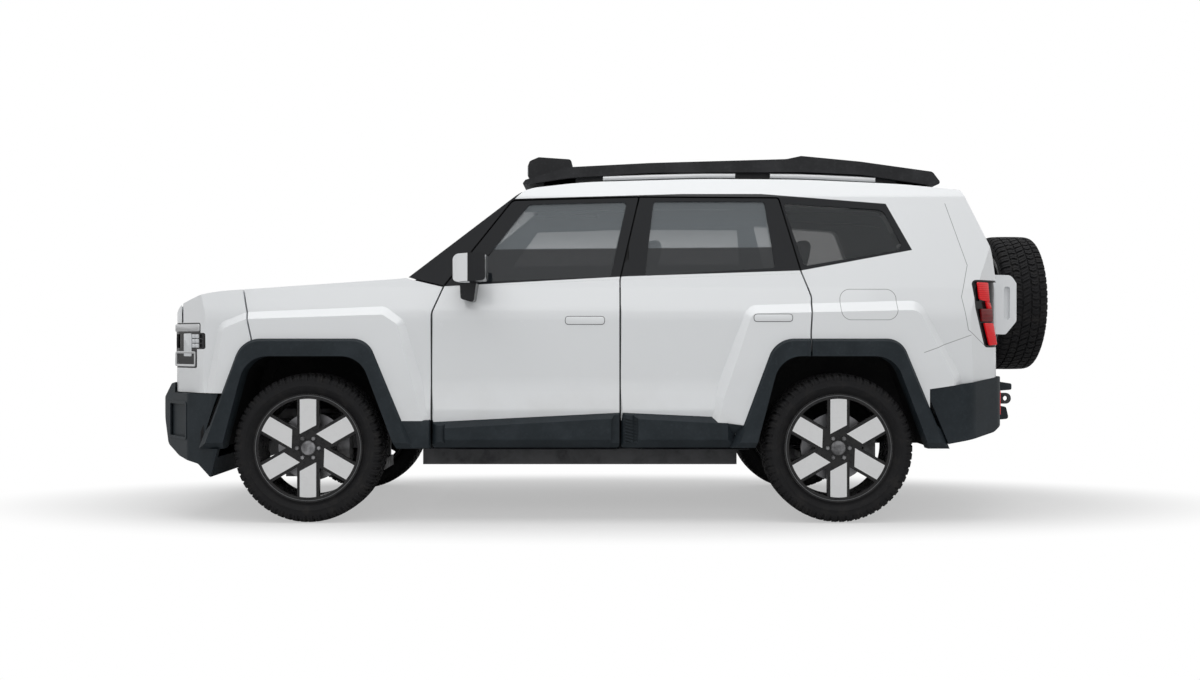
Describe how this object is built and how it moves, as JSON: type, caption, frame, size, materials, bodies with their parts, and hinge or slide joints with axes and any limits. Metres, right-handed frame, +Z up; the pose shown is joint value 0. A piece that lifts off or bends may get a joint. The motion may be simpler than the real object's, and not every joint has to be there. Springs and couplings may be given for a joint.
{
  "type": "sport utility vehicle",
  "caption": "Boxy sport utility vehicle with dark lower cladding, flared arches, a roof rack with lamp bar and a spare wheel on its side-hung tailgate.",
  "frame": {"origin": "on the ground, under the middle of the overall box", "axes": "+X forward, +Y to the vehicle's left, +Z up"},
  "size_m": [5.1569, 2.36, 2.0765],
  "materials": {
    "paint": "gloss clear coat",
    "cladding": "grained",
    "glazing": "tinted",
    "tyre": "moulded",
    "wheel": "painted",
    "head_lens": "clear",
    "tail_lens": "red",
    "metal": "satin",
    "rack": "powder coat",
    "seat": "soft",
    "cabin": "grained",
    "structure": "primer"
  },
  "bodies": {
    "body": {"body_sides": "paint", "roof_panel": "paint", "front_wings": "paint", "front_fascia": "paint", "front_bumper": "cladding", "rear_bumper": "cladding", "head_lamps": "head_lens", "tail_lamps": "tail_lens", "fixed_glass": "glazing", "arch_trims": "cladding", "wheel_liners": "cladding", "hinge_brackets": "metal", "front_suspension": "metal", "rear_suspension": "metal", "underbody": "structure", "cowl": "structure", "battery_pack": "structure", "power_unit": "metal", "dashboard": "cabin", "front_seats": "seat", "rear_bench": "seat", "roof_rack": "rack", "light_bar": "rack"},
    "hood": {"hood_panel": "paint"},
    "tailgate": {"tailgate_panel": "paint", "tailgate_glass": "glazing", "spare_tyre": "tyre", "spare_rim": "wheel", "spare_carrier": "paint"},
    "steering_wheel": {"steering_wheel": "cabin"},
    "door_front_left": {"door_front_left": "paint", "door_glass_front_left": "glazing", "door_cladding_front_left": "cladding", "door_mirror_left": "paint"},
    "door_rear_left": {"door_rear_left": "paint", "door_glass_rear_left": "glazing", "door_cladding_rear_left": "cladding"},
    "knuckle_left": {"knuckle_left": "metal"},
    "wheel_front_left": {"tyre_front_left": "tyre", "rim_front_left": "wheel"},
    "wheel_rear_left": {"tyre_rear_left": "tyre", "rim_rear_left": "wheel"},
    "door_front_right": {"door_front_right": "paint", "door_glass_front_right": "glazing", "door_cladding_front_right": "cladding", "door_mirror_right": "paint"},
    "door_rear_right": {"door_rear_right": "paint", "door_glass_rear_right": "glazing", "door_cladding_rear_right": "cladding"},
    "knuckle_right": {"knuckle_right": "metal"},
    "wheel_front_right": {"tyre_front_right": "tyre", "rim_front_right": "wheel"},
    "wheel_rear_right": {"tyre_rear_right": "tyre", "rim_rear_right": "wheel"}
  },
  "joints": [
    {"name": "hood_hinge", "type": "hinge", "parent": "body", "child": "hood", "pos_m": [1.2025, 0, 1.3], "axis": [0, -1, 0], "range_deg": [0, 50]},
    {"name": "tailgate_hinge", "type": "hinge", "parent": "body", "child": "tailgate", "pos_m": [-2.1965, -0.742, 1.1435], "axis": [0, 0, 1], "range_deg": [0, 85]},
    {"name": "door_front_left_hinge", "type": "hinge", "parent": "body", "child": "door_front_left", "pos_m": [0.945, 0.905, 0.85], "axis": [0, 0, -1], "range_deg": [0, 65]},
    {"name": "door_rear_left_hinge", "type": "hinge", "parent": "body", "child": "door_rear_left", "pos_m": [-0.09, 0.905, 0.85], "axis": [0, 0, -1], "range_deg": [0, 65]},
    {"name": "steer_left", "type": "hinge", "parent": "body", "child": "knuckle_left", "pos_m": [1.6715, 0.73, 0.41], "axis": [0, 0, 1], "range_deg": [-33, 33]},
    {"name": "wheel_front_left_spin", "type": "hinge", "parent": "knuckle_left", "child": "wheel_front_left", "pos_m": [1.6715, 0.815, 0.41], "axis": [0, 1, 0], "continuous": true},
    {"name": "wheel_rear_left_spin", "type": "hinge", "parent": "body", "child": "wheel_rear_left", "pos_m": [-1.2385, 0.815, 0.41], "axis": [0, 1, 0], "continuous": true},
    {"name": "door_front_right_hinge", "type": "hinge", "parent": "body", "child": "door_front_right", "pos_m": [0.945, -0.905, 0.85], "axis": [0, 0, 1], "range_deg": [0, 65]},
    {"name": "door_rear_right_hinge", "type": "hinge", "parent": "body", "child": "door_rear_right", "pos_m": [-0.09, -0.905, 0.85], "axis": [0, 0, 1], "range_deg": [0, 65]},
    {"name": "steer_right", "type": "hinge", "parent": "body", "child": "knuckle_right", "pos_m": [1.6715, -0.73, 0.41], "axis": [0, 0, 1], "range_deg": [-33, 33]},
    {"name": "wheel_front_right_spin", "type": "hinge", "parent": "knuckle_right", "child": "wheel_front_right", "pos_m": [1.6715, -0.815, 0.41], "axis": [0, 1, 0], "continuous": true},
    {"name": "wheel_rear_right_spin", "type": "hinge", "parent": "body", "child": "wheel_rear_right", "pos_m": [-1.2385, -0.815, 0.41], "axis": [0, 1, 0], "continuous": true},
    {"name": "steering_wheel_turn", "type": "hinge", "parent": "body", "child": "steering_wheel", "pos_m": [0.5995, 0.38, 1.15], "axis": [-0.9135, 0, 0.4067], "range_deg": [-495, 495]}
  ],
  "couplings": [
    {"joint": "steer_right", "follows": "steer_left", "ratio": 1},
    {"joint": "steering_wheel_turn", "follows": "steer_left", "ratio": 15}
  ]
}
